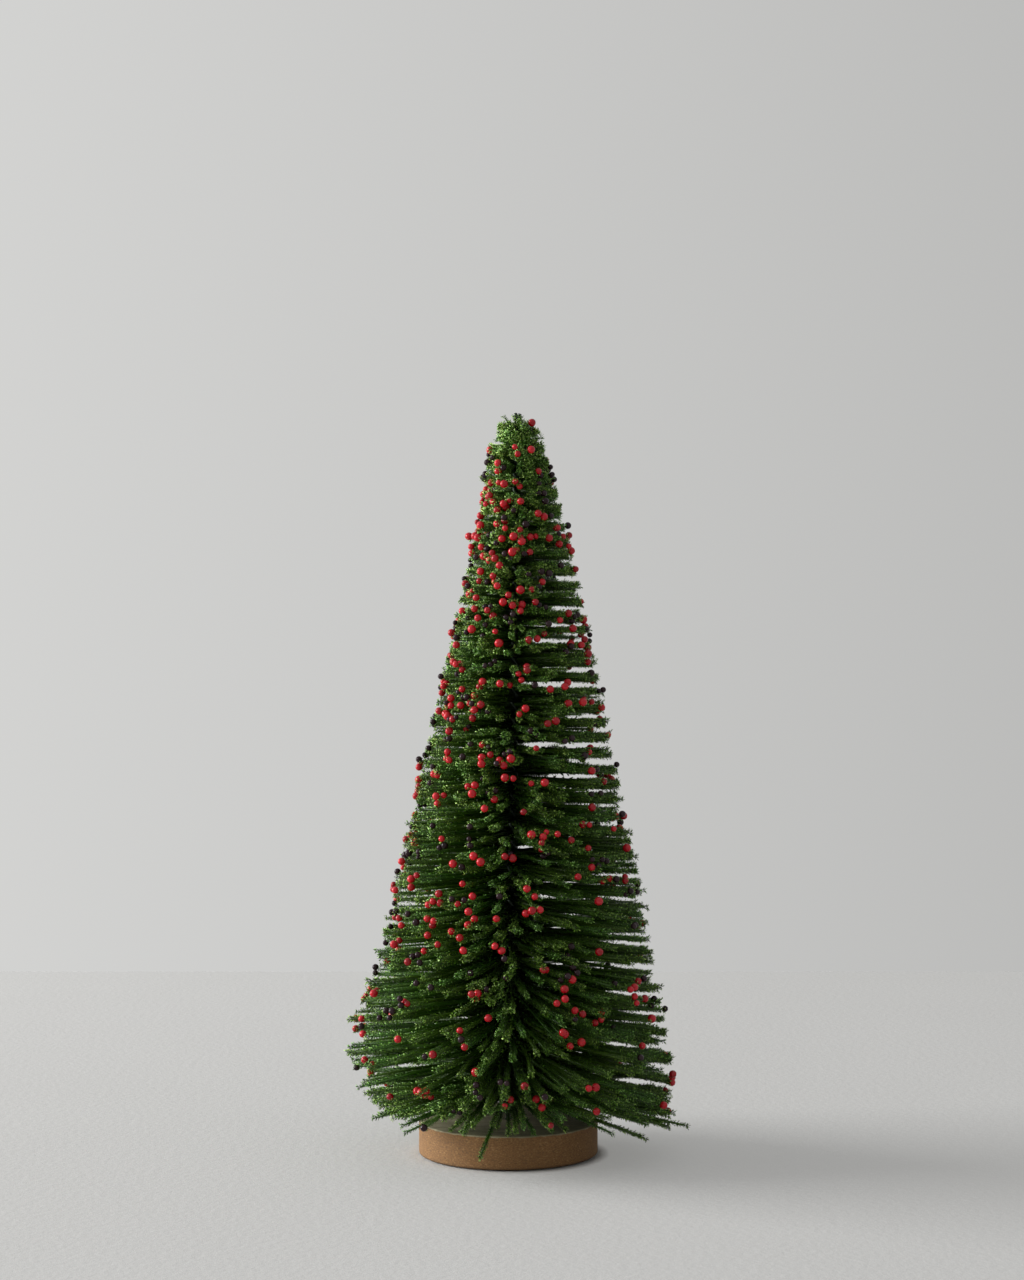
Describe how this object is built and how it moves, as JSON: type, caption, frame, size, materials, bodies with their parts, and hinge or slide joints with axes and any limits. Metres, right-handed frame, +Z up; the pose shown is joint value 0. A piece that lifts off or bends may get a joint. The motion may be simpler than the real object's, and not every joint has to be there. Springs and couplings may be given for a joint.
{
  "type": "decorative christmas tree",
  "caption": "Bottle-brush christmas tree: spiral tiers of needle foliage clamped in a twisted wire trunk, with red and dark berries, on a thick round wooden base.",
  "frame": {"origin": "centre of the underside of the base", "axes": "+Z up along the trunk, -Y towards the viewer of the picture, +X to the viewer's right"},
  "size_m": [0.1884, 0.1876, 0.406],
  "materials": {
    "base_wood": "fine fibre board, bare on the side, dull olive-brown stain on top",
    "base_pad": "dark felt",
    "trunk_wire": "dark green lacquer",
    "foliage": "cut tinsel needles, satin",
    "red_berry": "satin lacquer",
    "dark_berry": "satin lacquer"
  },
  "bodies": {
    "root": {"base_disc": "base_wood", "base_pad": "base_pad", "trunk_wire_a": "trunk_wire", "trunk_wire_b": "trunk_wire", "brush_lower": "foliage", "brush_middle": "foliage", "brush_upper": "foliage", "brush_crown": "foliage", "berry_red_01": "red_berry", "berry_dark_02": "dark_berry", "berry_red_03": "red_berry", "berry_red_04": "red_berry", "berry_dark_05": "dark_berry", "berry_red_06": "red_berry", "berry_red_07": "red_berry", "berry_dark_08": "dark_berry", "berry_red_09": "red_berry", "berry_red_10": "red_berry", "berry_dark_11": "dark_berry", "berry_red_12": "red_berry", "berry_red_13": "red_berry", "berry_dark_14": "dark_berry", "berry_red_15": "red_berry", "berry_red_16": "red_berry", "berry_dark_17": "dark_berry", "berry_red_18": "red_berry", "berry_red_19": "red_berry", "berry_dark_20": "dark_berry", "berry_red_21": "red_berry", "berry_red_22": "red_berry", "berry_dark_23": "dark_berry", "berry_red_24": "red_berry", "berry_red_25": "red_berry", "berry_dark_26": "dark_berry", "berry_red_27": "red_berry", "berry_red_28": "red_berry", "berry_dark_29": "dark_berry", "berry_red_30": "red_berry", "berry_red_31": "red_berry", "berry_dark_32": "dark_berry", "berry_red_33": "red_berry", "berry_red_34": "red_berry", "berry_dark_35": "dark_berry", "berry_red_36": "red_berry", "berry_red_37": "red_berry", "berry_dark_38": "dark_berry", "berry_red_39": "red_berry", "berry_red_40": "red_berry", "berry_dark_41": "dark_berry", "berry_red_42": "red_berry", "berry_red_43": "red_berry", "berry_dark_44": "dark_berry", "berry_red_45": "red_berry", "berry_red_46": "red_berry", "berry_dark_47": "dark_berry", "berry_red_48": "red_berry", "berry_red_49": "red_berry", "berry_dark_50": "dark_berry", "berry_red_51": "red_berry", "berry_red_52": "red_berry"}
  },
  "joints": []
}
